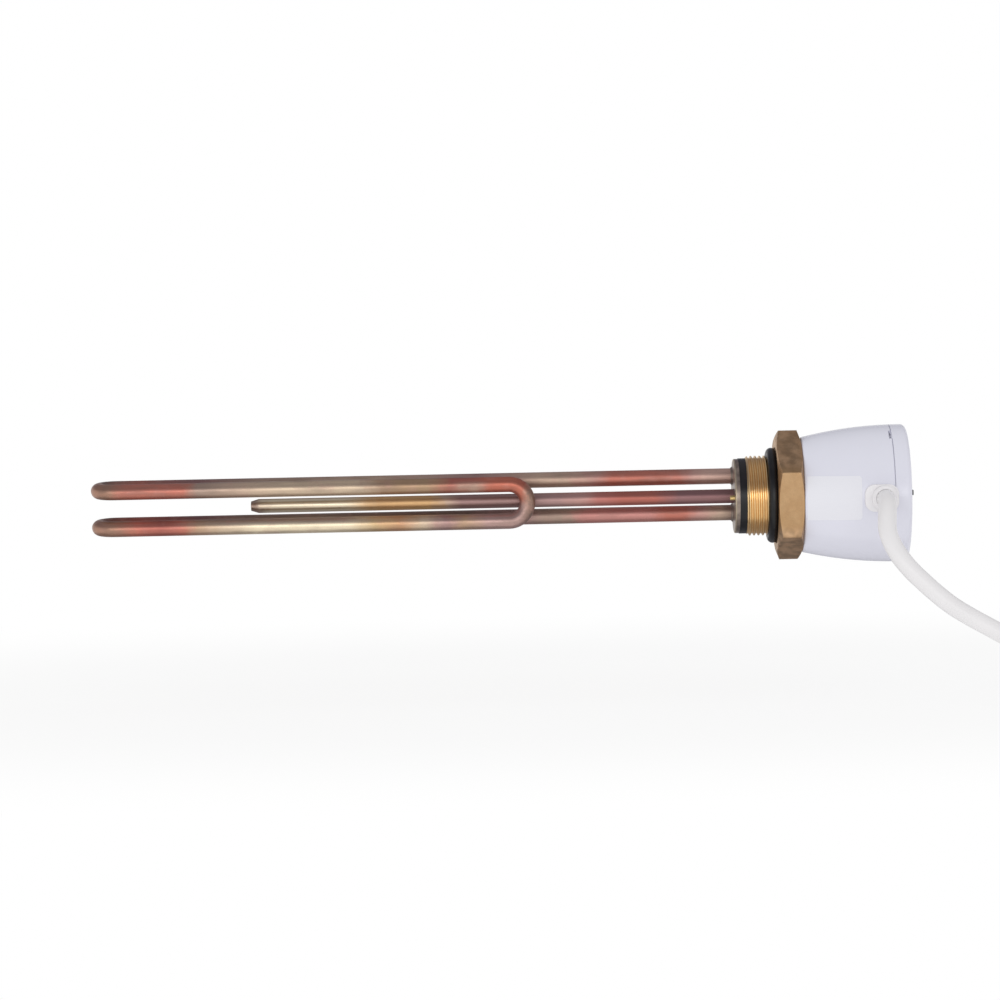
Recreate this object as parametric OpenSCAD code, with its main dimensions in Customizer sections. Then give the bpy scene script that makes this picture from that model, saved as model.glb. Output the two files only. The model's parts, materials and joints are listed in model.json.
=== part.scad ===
// Screw plug immersion heater with a thermostat head and a mains lead.
// X runs along the heater: the element points to -X, the head to +X.
// The origin is on the axis, at the end of the thread next to the O-ring.
// The cord leaves the head towards -Y, and +Z is up.

/* [Element] */
// Outside diameter of the element's tube
tube_d = 8.2; // [7:0.1:8.4]
// Height of each leg above or below the axis
leg_rise = 9.7; // [9:0.1:10]
// Distance of each leg behind or in front of the axis
leg_depth = 8.8; // [8.4:0.1:9]
// Reach of the element from the thread's inner end
element_reach = 355; // [280:1:600]
// Distance of the near bend from the thread's inner end
near_bend_reach = 121.6; // [60:0.1:160]
// Turn of the element about the heater's axis, in degrees
element_turn = 2.5; // [0:0.5:6]

/* [Thermowell] */
// Outside diameter of the thermowell
well_d = 7.4; // [7.2:0.1:8]
// Bore of the thermowell
well_bore = 6.7; // [6.5:0.1:6.9]
// Reach of the thermowell from the thread's inner end
well_reach = 271; // [180:1:280]
// Length of the crimped tip
well_tip_len = 4; // [3:0.5:12]

/* [Plate and seal] */
// Diameter of the plate that carries the element
plate_d = 39; // [37:0.1:40]
// Thickness of the plate
plate_t = 2.5; // [2:0.1:4]
// Diameter of the black seal ring
seal_d = 39.6; // [38:0.1:41]
// Thickness of the black seal ring
seal_t = 3.8; // [2:0.1:5]
// Diameter of the plate's hollow stud
stud_d = 12; // [11:0.1:12.5]
// Diameter of the earth stud
earth_d = 4; // [3:0.5:4]
// Distance of the earth stud in front of the axis
earth_offset = 14; // [13.5:0.1:14.5]
// Length of the earth stud's stub in front of the plate
earth_stub = 2.6; // [1:0.1:6]

/* [Screw plug] */
// Major diameter of the thread
thread_d = 41.91; // [41.5:0.01:43]
// Length of the thread
thread_len = 11; // [8:0.5:16]
// Diameter of the relief that the O-ring sits on
relief_d = 39.2; // [38.5:0.1:41]
// Section of the O-ring
ring_section = 5.4; // [4:0.1:6]
// Depth of the O-ring's seat in the hexagon's face
seat_deep = 0.8; // [0.4:0.1:2]
// Width across the flats of the hexagon
hex_af = 60; // [58:0.5:64]
// Thickness of the hexagon
hex_t = 13.4; // [12:0.1:20]
// Depth of the chamfer at the hexagon's corners
hex_chamfer = 2; // [1:0.1:3]
// Turn of the hexagon about the heater's axis, in degrees
hex_turn = 6; // [0:0.5:30]
// Thickness of the insulating disc in the back of the plug
disc_t = 3; // [2:0.1:4]

/* [Head] */
// Diameter of the housing where it meets the hexagon
base_d = 60.2; // [58.5:0.1:62]
// Largest diameter of the housing
bell_d = 72.1; // [70:0.1:76]
// Length of the housing up to the seam
housing_len = 46.2; // [45:0.1:52]
// Length of the end cover behind the seam
cover_len = 9; // [8.5:0.1:12]
// Wall of the housing and the cover
wall = 2.4; // [2:0.1:2.6]
// Radius of the housing's edge at the hexagon
base_round = 1.2; // [0.5:0.1:2]
// Width of the groove that shows along the seam
seam_gap = 0.5; // [0.3:0.1:0.8]
// Depth of the groove along the seam
seam_deep = 0.9; // [0.4:0.1:1.2]
// Radius of the cover's outer edge
cover_round = 2.5; // [1:0.1:4]
// Angle of the side latches from the cord's side, in degrees
latch_angle = 62; // [50:1:80]
// Width of a pry notch
notch_w = 8; // [4:0.5:9]
// Depth of a pry notch
notch_deep = 1.2; // [0.5:0.1:1.4]

/* [Thermostat] */
// Depth of the thermostat along the heater
stat_depth = 20; // [18:0.5:20]
// Width of the thermostat
stat_w = 30; // [28:0.5:31]
// Height of the thermostat
stat_h = 36; // [34:0.5:38]
// Diameter of the rod in the thermowell
rod_d = 6.4; // [6:0.1:6.4]
// Diameter of the setting spindle
spindle_d = 6; // [5:0.1:7]
// How far the spindle stands out of the cover
spindle_out = 4; // [3:0.1:12]
// Thickness of the spindle's flatted tip
tip_t = 2.6; // [2:0.1:4]
// Diameter of the reset button
button_d = 5; // [4:0.1:6]
// Travel of the reset button
button_travel = 2.5; // [1.5:0.1:3]

/* [Gland and cord] */
// Diameter of the cord
cord_d = 9.5; // [9:0.1:9.6]
// Distance of the cord's centre from the seam
gland_setback = 5.7; // [5.6:0.1:7]
// Length of the gland's plate along the heater
gland_len = 17.4; // [17:0.1:20]
// Height of the gland's plate
gland_h = 14; // [13:0.5:15]
// Diameter of the gland's collar
collar_d = 13.4; // [12:0.1:14]
// How far the collar stands out of the plate
collar_out = 4.4; // [3:0.1:7]

/* [Mains plug] */
// Diameter of the mains plug
mains_d = 37; // [34:0.5:39]
// Length of the mains plug's body
mains_len = 59; // [52:1:66]
// Length of its pins
pin_len = 19; // [17:0.5:20]
// Spacing of its pins
pin_pitch = 19; // [18:0.5:20]

/* [Hidden] */
$fn = 96;

// Clearances: fixed fits, running fits, and the overshoot of a cut
fit = 0.05;
run = 0.05;
room = 0.3;
over = 1;

// Stations along the heater
seal_x = -thread_len - seal_t;
plate_x = seal_x - plate_t;
seat_x = ring_section;
hex_x = seat_x - seat_deep;
head_x = hex_x + hex_t;
seam_x = head_x + housing_len;
end_x = seam_x + cover_len;

// The element's legs and bends
leg_r = norm([leg_rise, leg_depth]);
leg_clear_r = leg_r + tube_d / 2;
far_bend_x = -element_reach + tube_d / 2 + leg_depth;
near_bend_x = -near_bend_reach - tube_d / 2 - leg_rise;
leg_spots = [for (side = [-1, 1]) turned_spot(leg_depth, side * leg_rise, element_turn)];
braze_w = 1;

// What holds the plate to the plug
plug_bore = 2 * (leg_clear_r + 0.25);
disc_d = plug_bore + 5.6;
spigot_t = 1;
disc_x = head_x - spigot_t - disc_t;
stack_x = disc_x + disc_t;
washer_t = 1;
washer_d = 2 * (leg_r - tube_d / 2 - room);
nut_t = 6;
nut_x = stack_x + washer_t;
stud_end_x = nut_x + nut_t + 1;
earth_af = 7;
base_t = 2.5;
earth_nut_t = head_x + base_t + room - stack_x;
earth_stub_d = 2.6;
earth_end_x = stack_x + 2 * earth_nut_t + 3;
lug_t = 0.8;
lug_x = stack_x + earth_nut_t;
lug_barrel_d = 4.4;
lug_barrel_len = 6;
lug_reach = 4.8;

// The element's ends
seal_bead_d = 7;
seal_bead_t = 6;
pin_d = 3;
leg_end_x = head_x + 5;
strap_x = leg_end_x + seal_bead_t;
strap_t = 0.8;
strap_w = 6.4;

// The housing's bell: an arc that is tangent to the axis near the cover's end
bell_r = bell_d / 2;
crown_x = end_x - 5.2;
bell_sag = bell_r - base_d / 2;
bell_arc = (pow(crown_x - head_x, 2) + pow(bell_sag, 2)) / (2 * bell_sag);
base_corner_x = head_x + base_round;
base_corner_r = bell_at(base_corner_x) - base_round;
base_open_d = plug_bore + 2.4;
spigot_d = disc_d - 0.2;
cover_t = 2.5;
corner_x = end_x - cover_round;
corner_r = bell_at(corner_x) - cover_round;
inner_r = bell_at(seam_x) - wall;

// Screws that hold the housing, the thermostat and the cord
housing_screw_d = 4;
housing_screw_len = 11;
housing_screw_r = disc_d / 2 + 3.8;
housing_screw_angles = [0, 120, 240];
post_d = 8;
post_z = 23.5;
post_len = 19;
post_x = head_x + post_len;
small_screw_d = 3;
stat_screw_grip = 10;

// Thermostat
stat_x = post_x;
stat_end_x = stat_x + stat_depth;
ear_t = 3;
spindle_depth = 8;
spindle_collar_d = 10;
spindle_collar_t = 2;
spindle_collar_x = stat_end_x + room;
tip_len = 1.6;
button_y = 8;
button_z = -10;
button_out = 4.5;
button_depth = 7;
lead_d = 2.8;
lead_z = 10;
lead_inset = 13;
lead_x = stat_x + lead_inset;
lead_depth = 6;
supply_screw_y = -stat_w / 2 + 3.5;

// Gland and cord clamp
gland_x = seam_x - gland_setback;
plate_out = 2.2;
plate_y = -bell_r - plate_out;
gland_round = 5;
gland_past = 1.7;
cord_bore = cord_d + 2 * fit;
neck_wall = 0.6;
neck_r = cord_bore / 2 + neck_wall;
flange_y = -bell_at(gland_x) + wall + 2.7;
flange_len = 16;
flange_h = 15.6;
grip_t = 5.7;
grip_y = flange_y + 0.2 + grip_t;
grip_h = 26;
grip_screw_z = 9.6;
grip_screw_hold = 9;
grip_gap = 0.4;
bar_t = 7;
cradle_len = 19;

// Latches
lip_len = 4.2;
lip_t = 1.6;
lip_gap = 0.15;
lip_r = inner_r - lip_gap;
nib_out = 0.8;
nib_w = 6;
nib_t = 1.2;
latch_turns = [latch_angle, -latch_angle, 180];
lip_break = 31;

// The cord's route: from inside the head to the coil, then from the coil to the plug
cord_route = [
    [58.5, -24.7, 0], [58.5, -34, 0], [58.5, -43, 0], [58.4, -49, 0], [57.9, -56.5, -1],
    [57.1, -64, -3.6], [56.3, -70.6, -7.9], [55.8, -76.2, -13.4], [57.5, -80.6, -19.8],
    [61.2, -83.6, -26.6], [66.6, -85.4, -33.4], [72.2, -86, -39], [79, -86, -45.3],
    [87.3, -86, -52], [96.8, -86, -58], [107, -86, -63.8], [117, -86, -69.4],
    [128, -86, -74.4], [139.5, -86, -78.8], [152, -86, -82.2], [165, -86, -84.5],
    [179, -86, -85.6], [194, -86, -85.75]];
tail_route = [
    [194, -86, -95.25], [204, -86, -95.2], [215, -86, -94], [226, -86, -91],
    [237, -86, -87], [246, -86, -83.8], [255, -86, -81.5], [265, -86, -81.5]];
cord_sides = 12;
lead_sides = 8;
coil_centre = [194, -33.75, -100];
coil_mean_r = 47.5;
coil_side = 19;
coil_round = 4.75;
tie_t = 0.8;
tie_turn = 8;
tie_angle = 90;

// The leads inside the head
live_route = [
    [59.8, -24.7, 2.6], [59.8, -23.4, 2.6], [59, -21.6, 3.8], [56.5, -19.6, 6.7],
    [53, -18.2, 9.2], [51, -16.8, 10], [50.1, -15, 10], [50, -12.5, 10], [50, -9.5, 10]];
earth_route = [
    [56, -24.7, 0], [56, -23.4, 0], [55, -21.6, 0], [52.8, -20, 0], [49.5, -19.2, 0],
    [45, -18.8, 0], [37, -18.8, 0], [30, -18.8, 0], [24.4, -18.8, 0]];

// Mains plug
mains_at = tail_route[len(tail_route) - 1];
mains_pin_d = 4.8;
mains_root_d = 4;
mains_root_len = 11;
sleeve_len = 18;
sleeve_d = 14;
neck_d = 17;
groove_count = 4;
groove_w = 1.8;
groove_deep = 1.1;
shoulder_len = 16;
guide_w = 5;
guide_deep = 2;
guide_len = 16;
clip_w = 6;
clip_t = 0.8;
clip_cut = 4;

// Place of a spot in Y and Z after a turn about the axis
function turned_spot(y, z, a) = [y * cos(a) - z * sin(a), y * sin(a) + z * cos(a)];

// Radius of the bell's outer face at a station
function bell_at(x) = bell_r - bell_arc + sqrt(pow(bell_arc, 2) - pow(x - crown_x, 2));

// Functions that sweep a tube along a route
function unit(v) = v / norm(v);
function heading(p, i) = unit(p[min(i + 1, len(p) - 1)] - p[max(i - 1, 0)]);
function squared(v, t) = unit(v - (v * t) * t);
function side_vectors(p, i, v) =
    let (side = squared(v, heading(p, i)))
    i == len(p) - 1 ? [side] : concat([side], side_vectors(p, i + 1, side));

module swept_tube(route, d, n) {
    last = len(route) - 1;
    side = side_vectors(route, 0, [0.3, 0.2, 1]);
    points = [
        for (i = [0 : last])
            let (across = cross(heading(route, i), side[i]))
            for (k = [0 : n - 1])
                route[i] + d / 2 * (cos(360 * k / n) * side[i] + sin(360 * k / n) * across)];
    walls = [
        for (i = [0 : last - 1])
            for (k = [0 : n - 1])
                let (a = i * n + k, b = i * n + (k + 1) % n)
                each [[a, a + n, b + n], [a, b + n, b]]];
    first_cap = [for (k = [0 : n - 1]) k];
    last_cap = [for (k = [n - 1 : -1 : 0]) last * n + k];
    polyhedron(points, concat(walls, [first_cap, last_cap]));
}

// Shapes along the heater's axis
module along_x(x, y = 0, z = 0) {
    translate([x, y, z]) rotate([0, 90, 0]) children();
}

module rod(x0, x1, d, y = 0, z = 0) {
    along_x(x0, y, z) cylinder(h = x1 - x0, d = d);
}

module ring(x0, x1, d, bore, y = 0, z = 0) {
    difference() {
        rod(x0, x1, d, y, z);
        rod(x0 - over, x1 + over, bore, y, z);
    }
}

module hex_rod(x0, x1, af, y = 0, z = 0) {
    along_x(x0, y, z) cylinder(h = x1 - x0, d = af / cos(30), $fn = 6);
}

module hex_nut(x0, t, af, bore, y = 0, z = 0) {
    difference() {
        hex_rod(x0, x0 + t, af, y, z);
        rod(x0 - over, x0 + t + over, bore, y, z);
    }
}

// A half section, with its radius along x and its station along y, turned about the axis
module turned() {
    rotate([0, 90, 0]) rotate_extrude() children();
}

// An outline in Y and Z, extruded along X
module slab_x(x0, x1) {
    translate([x0, 0, 0]) rotate([90, 0, 90]) linear_extrude(x1 - x0) children();
}

// An outline in X and Z, extruded along Y
module slab_y(y0, y1) {
    translate([0, y1, 0]) rotate([90, 0, 0]) linear_extrude(y1 - y0) children();
}

module rounded(w, h, r) {
    square([w - 2 * r, h], center = true);
    square([w, h - 2 * r], center = true);
    for (x = [-1, 1], y = [-1, 1]) translate([x * (w / 2 - r), y * (h / 2 - r)]) circle(r);
}

// A screw along +X with its head's underside at the origin, pointing to -X
module screw(d, len, head_d, head_t) {
    rod(-len, 0, d);
    difference() {
        rod(0, head_t, head_d);
        translate([head_t / 2, -head_d, -d / 8]) cube([head_t, 2 * head_d, d / 4]);
    }
}

module at_legs() {
    for (spot = leg_spots) translate([0, spot[0], spot[1]]) children();
}

module heating_element() {
    color("rosybrown") rotate([element_turn, 0, 0]) {
        for (side = [-1, 1]) translate([0, 0, side * leg_rise]) {
            rod(far_bend_x, leg_end_x, tube_d, leg_depth);
            rod(far_bend_x, near_bend_x, tube_d, -leg_depth);
            translate([far_bend_x, 0, 0]) rotate([0, 0, 90])
                rotate_extrude(angle = 180) translate([leg_depth, 0]) circle(d = tube_d);
        }
        translate([near_bend_x, -leg_depth, 0]) rotate([90, 0, 0]) rotate([0, 0, -90])
            rotate_extrude(angle = 180) translate([leg_rise, 0]) circle(d = tube_d);
    }
}

module thermowell() {
    tip_x = -well_reach;
    shoulder_x = tip_x + well_tip_len;
    color("darkkhaki") turned() polygon([
        [0, tip_x], [well_d / 3, tip_x], [well_d / 2, shoulder_x], [well_d / 2, stud_end_x],
        [well_bore / 2, stud_end_x], [well_bore / 2, shoulder_x], [0, shoulder_x]]);
}

module element_plate() {
    edge = 0.4;
    color("darkgoldenrod") difference() {
        union() {
            turned() polygon([
                [0, plate_x], [plate_d / 2 - edge, plate_x], [plate_d / 2, plate_x + edge],
                [plate_d / 2, seal_x], [stud_d / 2, seal_x], [stud_d / 2, stud_end_x],
                [0, stud_end_x]]);
            at_legs() along_x(plate_x - braze_w)
                cylinder(h = braze_w, d1 = tube_d + 0.4, d2 = tube_d + 2 * braze_w);
        }
        rod(plate_x - over, stud_end_x + over, well_d + 2 * fit);
        at_legs() rod(plate_x - braze_w - over, seal_x + over, tube_d + 2 * fit);
        rod(plate_x - over, seal_x + over, earth_stub_d + 2 * fit, -earth_offset);
    }
}

module seal_ring() {
    color("#26262a") ring(seal_x, -thread_len, seal_d, plug_bore);
}

module screw_plug() {
    lead_in = 1;
    root = (thread_d - relief_d) / 2;
    corner_r = hex_af / 2 / cos(30);
    face_r = hex_af / 2 - 0.5;
    outer_r = corner_r + over;
    rise = hex_chamfer * (outer_r - face_r) / (corner_r - face_r);
    color("peru") difference() {
        union() {
            turned() polygon([
                [0, -thread_len], [thread_d / 2 - lead_in, -thread_len],
                [thread_d / 2, -thread_len + lead_in], [thread_d / 2, 0],
                [thread_d / 2 - root, 0], [thread_d / 2 - root, seat_x], [0, seat_x]]);
            intersection() {
                rotate([hex_turn, 0, 0]) hex_rod(hex_x, head_x, hex_af);
                turned() polygon([
                    [0, hex_x], [face_r, hex_x], [outer_r, hex_x + rise],
                    [outer_r, head_x - rise], [face_r, head_x], [0, head_x]]);
            }
        }
        ring(hex_x - over, seat_x, relief_d + 2 * (ring_section + room), relief_d);
        rod(-thread_len - over, head_x + over, plug_bore);
        rod(disc_x, head_x + over, disc_d + 0.4);
        for (a = housing_screw_angles) rotate([a, 0, 0])
            rod(head_x - housing_screw_len, head_x + over, housing_screw_d + 2 * fit, housing_screw_r);
    }
}

module plug_o_ring() {
    color("#1c1c1e") turned()
        translate([relief_d / 2 + ring_section / 2, seat_x - ring_section / 2]) circle(d = ring_section);
}

module clamp_disc() {
    color("#3a332c") difference() {
        rod(disc_x, stack_x, disc_d);
        rod(disc_x - over, stack_x + over, stud_d + 2 * fit);
        at_legs() rod(disc_x - over, stack_x + over, tube_d + 2 * fit);
        rod(disc_x - over, stack_x + over, earth_d + 2 * fit, -earth_offset);
    }
}

module clamp_washer() {
    color("silver") ring(stack_x, nut_x, washer_d, stud_d + 2 * fit);
}

module clamp_nut() {
    color("goldenrod") hex_nut(nut_x, nut_t, washer_d * cos(30), stud_d + 2 * fit);
}

module earth_stud() {
    color("khaki") {
        rod(plate_x - earth_stub, seal_x, earth_stub_d, -earth_offset);
        rod(seal_x, earth_end_x, earth_d, -earth_offset);
    }
}

module earth_nuts() {
    color("goldenrod") for (x = [stack_x, lug_x + lug_t])
        hex_nut(x, earth_nut_t, earth_af, earth_d + 2 * fit, -earth_offset);
}

module earth_lug() {
    barrel_y = -earth_offset - lug_reach;
    color("silver") difference() {
        union() {
            rod(lug_x, lug_x + lug_t, 2 * earth_d, -earth_offset);
            translate([lug_x, barrel_y, -lug_barrel_d / 2]) cube([lug_t, lug_reach, lug_barrel_d]);
            rod(lug_x, lug_x + lug_barrel_len, lug_barrel_d, barrel_y);
        }
        rod(lug_x - over, lug_x + lug_t + over, earth_d + 2 * fit, -earth_offset);
        rod(lug_x + lug_t, lug_x + lug_barrel_len + over, lead_d + 2 * fit, barrel_y);
        translate([lug_x + lug_t, -earth_offset - earth_af / 2 / cos(30) - 0.1, -lug_barrel_d])
            cube([lug_barrel_len, earth_af, 2 * lug_barrel_d]);
    }
}

module end_seals() {
    color("white") at_legs() ring(leg_end_x, strap_x, seal_bead_d, pin_d + 2 * fit);
}

module terminal_pins() {
    color("silver") at_legs() rod(leg_end_x, strap_x + 4, pin_d);
}

module link_straps() {
    side_y = stat_w / 2 + fit;
    screw_x = stat_x + 5;
    color("goldenrod") for (spot = leg_spots) translate([0, 0, spot[1]]) difference() {
        union() {
            translate([strap_x, spot[0] - strap_w / 2, -strap_w / 2])
                cube([strap_t, side_y + strap_t - spot[0] + strap_w / 2, strap_w]);
            translate([strap_x, side_y, -strap_w / 2])
                cube([screw_x + strap_w / 2 - strap_x, strap_t, strap_w]);
        }
        rod(strap_x - over, strap_x + strap_t + over, pin_d + 2 * fit, spot[0]);
        translate([screw_x, side_y - over, 0]) rotate([-90, 0, 0])
            cylinder(h = strap_t + 2 * over, d = small_screw_d + 2 * fit);
    }
}

// Half section of the bell, inset from its outer face
module bell_section(inset, x0, x1) {
    intersection() {
        translate([bell_r - bell_arc, crown_x]) circle(r = bell_arc - inset, $fn = 720);
        translate([0, x0]) square([bell_r, x1 - x0]);
    }
}

module at_latches() {
    for (a = latch_turns) rotate([a, 0, 0]) children();
}

// A ring sector on the cord's side, of a given width
module side_block(x0, x1, r0, r1, w) {
    intersection() {
        ring(x0, x1, 2 * r1, 2 * r0);
        translate([x0 - over, -r1 - over, -w / 2]) cube([x1 - x0 + 2 * over, r1, w]);
    }
}

module cord_hole(y0, y1) {
    translate([gland_x, y0, 0]) rotate([-90, 0, 0]) cylinder(h = y1 - y0, d = cord_bore);
}

module at_grip_screws() {
    for (side = [-1, 1]) translate([0, grip_y - grip_t / 2, side * grip_screw_z]) children();
}

module head_housing() {
    cradle_x = gland_x - grip_gap / 2;
    color("lavender") difference() {
        union() {
            turned() difference() {
                union() {
                    bell_section(0, base_corner_x, seam_x);
                    translate([0, head_x]) square([base_corner_r, 2 * base_round]);
                    translate([base_corner_r, base_corner_x]) circle(base_round);
                    translate([0, head_x - spigot_t]) square([spigot_d / 2, 2 * spigot_t]);
                }
                bell_section(wall, head_x + base_t, seam_x + over);
                translate([0, head_x - spigot_t - over])
                    square([base_open_d / 2, base_t + spigot_t + 2 * over]);
            }
            for (side = [-1, 1]) {
                rod(head_x + base_t / 2, post_x, post_d, 0, side * post_z);
                translate([head_x + base_t / 2, -1, side * (post_z + 3) - 3])
                    cube([post_x - head_x - base_t / 2 - 6, 2, 6]);
            }
            intersection() {
                translate([cradle_x - cradle_len, -bell_r, -grip_h / 2])
                    cube([cradle_len, bell_r + grip_y, grip_h]);
                turned() bell_section(wall / 2, head_x, seam_x);
            }
        }
        for (side = [-1, 1])
            rod(head_x + base_t + 5, post_x + over, small_screw_d - 2 * fit, 0, side * post_z);
        for (a = housing_screw_angles) rotate([a, 0, 0])
            rod(head_x - over, head_x + base_t + over, housing_screw_d + 0.4, housing_screw_r);
        slab_y(-bell_r - over, flange_y) {
            translate([gland_x, 0]) circle(neck_r + 0.1);
            translate([gland_x, -neck_r - 0.1]) square([gland_setback + over, 2 * neck_r + 0.2]);
        }
        translate([seam_x - flange_len - 0.1, -inner_r - 0.02, -flange_h / 2 - 0.1])
            cube([flange_len + over, inner_r + flange_y + 0.12, flange_h + 0.2]);
        cord_hole(-bell_r, grip_y + over);
        at_grip_screws() rod(cradle_x - grip_screw_hold - 2, cradle_x + over, small_screw_d - 2 * fit);
        at_latches() {
            side_block(seam_x - 3.4, seam_x - 1.8, inner_r - over, inner_r + nib_out + 0.2, nib_w + 1);
            side_block(seam_x - notch_deep, seam_x + over, inner_r - over, bell_r + over, notch_w);
        }
    }
}

module housing_screws() {
    color("silver") for (a = housing_screw_angles) rotate([a, 0, 0])
        translate([head_x + base_t, housing_screw_r, 0])
            screw(housing_screw_d, housing_screw_len, 6.6, 2.8);
}

module end_cover() {
    boss_x = spindle_collar_x + spindle_collar_t + 3;
    color("lavender") difference() {
        union() {
            turned() difference() {
                union() {
                    bell_section(0, seam_x, corner_x);
                    translate([0, seam_x]) square([corner_r, cover_len]);
                    translate([corner_r, corner_x]) circle(cover_round);
                }
                translate([bell_at(seam_x) - seam_deep, seam_x - over])
                    square([seam_deep + over, over + seam_gap]);
                bell_section(wall, seam_x - over, end_x - cover_t);
            }
            difference() {
                turned() {
                    translate([lip_r - lip_t, seam_x - lip_len]) square([lip_t, lip_len]);
                    translate([lip_r - lip_t, seam_x]) square([lip_t + wall / 2, 3]);
                }
                translate([seam_x - lip_len - over, -bell_r, -lip_break / 2])
                    cube([cover_len + lip_len, bell_r, lip_break]);
            }
            at_latches() side_block(seam_x - 3.2, seam_x - 3.2 + nib_t,
                lip_r - lip_t / 2, lip_r + nib_out, nib_w);
            rod(boss_x, end_x - cover_t / 2, 2 * spindle_d);
        }
        rod(boss_x - over, end_x + over, spindle_d + 2 * run);
    }
}

module thermostat_body() {
    color("#2d2d30") difference() {
        union() {
            slab_x(stat_x, stat_end_x) rounded(stat_w, stat_h, 3);
            slab_x(stat_x, stat_x + ear_t) rounded(post_d + 1, 2 * post_z + post_d, 3);
        }
        rod(stat_end_x - spindle_depth, stat_end_x + over, spindle_d + 2 * run);
        rod(stat_end_x - button_depth - button_travel - 0.5, stat_end_x + over,
            button_d + 2 * run, button_y, button_z);
        for (side = [-1, 1]) {
            rod(stat_x - over, stat_x + ear_t + over, small_screw_d + 0.4, 0, side * post_z);
            translate([lead_x, -stat_w / 2 - over, side * lead_z]) rotate([-90, 0, 0])
                cylinder(h = lead_depth + over, d = lead_d + 0.2);
            rod(lead_x + lead_d / 2 + 0.2, stat_end_x + over, small_screw_d + 2 * fit,
                supply_screw_y, side * lead_z);
            rod(stat_end_x - 3, stat_end_x + over, 6.4, supply_screw_y, side * lead_z);
        }
        for (spot = leg_spots) translate([stat_x + 5, stat_w / 2 - 5, spot[1]]) rotate([-90, 0, 0])
            cylinder(h = 5 + over, d = small_screw_d + 2 * fit);
    }
}

module thermostat_rod() {
    color("silver") rod(-well_reach + well_tip_len + 2, stat_x, rod_d);
}

module thermostat_screws() {
    color("silver") for (side = [-1, 1]) translate([stat_x + ear_t, 0, side * post_z])
        screw(small_screw_d - 4 * fit, ear_t + stat_screw_grip, 5.6, 2.2);
}

module terminal_screws() {
    color("goldenrod") {
        for (side = [-1, 1]) translate([stat_end_x - 3, supply_screw_y, side * lead_z])
            screw(small_screw_d, stat_end_x - 3 - lead_x - lead_d / 2 - 0.3, 5.6, 2.2);
        for (spot = leg_spots) translate([stat_x + 5, stat_w / 2 + fit + strap_t, spot[1]])
            rotate([0, 0, 90]) screw(small_screw_d, 5, 5.6, 2);
    }
}

module setting_spindle() {
    shaft_end_x = end_x + spindle_out - tip_len;
    color("#1a1a1a") {
        rod(stat_end_x - spindle_depth + room, shaft_end_x, spindle_d);
        rod(spindle_collar_x, spindle_collar_x + spindle_collar_t, spindle_collar_d);
        intersection() {
            rod(shaft_end_x - 0.2, end_x + spindle_out, spindle_d);
            translate([shaft_end_x - 0.2, -spindle_d, -tip_t / 2])
                cube([tip_len + 0.2, 2 * spindle_d, tip_t]);
        }
    }
}

module reset_button() {
    top_x = stat_end_x + button_out;
    edge = 0.6;
    color("firebrick") translate([0, button_y, button_z]) turned() polygon([
        [0, stat_end_x - button_depth], [button_d / 2, stat_end_x - button_depth],
        [button_d / 2, top_x - edge], [button_d / 2 - edge, top_x], [0, top_x]]);
}

module cord_clamp() {
    bar_x = gland_x + grip_gap / 2;
    color("whitesmoke") difference() {
        translate([0, grip_y, 0]) slab_y(-grip_t, 0) translate([bar_x + bar_t / 2, 0])
            rounded(bar_t, grip_h, 2);
        cord_hole(grip_y - grip_t - over, grip_y + over);
        at_grip_screws() rod(bar_x - over, bar_x + bar_t + over, small_screw_d + 0.4);
    }
}

module clamp_screws() {
    bar_top_x = gland_x + grip_gap / 2 + bar_t;
    color("silver") at_grip_screws() translate([bar_top_x, 0, 0])
        screw(small_screw_d - 4 * fit, bar_t + grip_screw_hold, 5.4, 2);
}

module lead_live() {
    color("saddlebrown") swept_tube(live_route, lead_d, lead_sides);
}

module lead_neutral() {
    color("royalblue") mirror([0, 0, 1]) swept_tube(live_route, lead_d, lead_sides);
}

module lead_earth() {
    color("yellowgreen") swept_tube(earth_route, lead_d, lead_sides);
}

module cord_gland() {
    collar_y = plate_y - collar_out;
    edge = 0.8;
    plate_x0 = seam_x + gland_past - gland_len;
    color("whitesmoke") difference() {
        union() {
            difference() {
                slab_y(plate_y, -bell_r + 4) translate([plate_x0 + gland_len / 2, 0])
                    rounded(gland_len, gland_h, gland_round);
                turned() bell_section(-fit, head_x, end_x);
            }
            slab_y(plate_y + plate_out / 2, flange_y - 1) {
                translate([gland_x, 0]) circle(neck_r);
                translate([gland_x, -neck_r]) square([gland_setback - fit, 2 * neck_r]);
            }
            intersection() {
                translate([seam_x - flange_len, -inner_r - over, -flange_h / 2])
                    cube([flange_len - fit, inner_r + over + flange_y, flange_h]);
                turned() bell_section(wall + fit, head_x + base_t, seam_x);
            }
            translate([gland_x, plate_y + over, 0]) rotate([90, 0, 0]) {
                cylinder(h = collar_out + over - edge, d = collar_d);
                translate([0, 0, collar_out + over - edge])
                    cylinder(h = edge, d1 = collar_d, d2 = collar_d - 2 * edge);
            }
        }
        cord_hole(collar_y - over, flange_y + over);
    }
}

module cord_tube() {
    color("whitesmoke") swept_tube(cord_route, cord_d, cord_sides);
}

module coil_section() {
    translate([coil_mean_r, coil_side / 2]) rounded(coil_side, coil_side, coil_round);
}

module cord_coil() {
    color("whitesmoke") translate(coil_centre) rotate_extrude() coil_section();
}

module cord_tail() {
    color("whitesmoke") swept_tube(tail_route, cord_d, cord_sides);
}

module coil_tie() {
    band = coil_side + 2 * (tie_t + fit);
    color("#303030") translate(coil_centre) rotate([0, 0, tie_angle - tie_turn / 2])
        rotate_extrude(angle = tie_turn) translate([coil_mean_r, coil_side / 2]) difference() {
            rounded(band, band, coil_round + tie_t);
            rounded(coil_side + 2 * fit, coil_side + 2 * fit, coil_round);
        }
}

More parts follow.
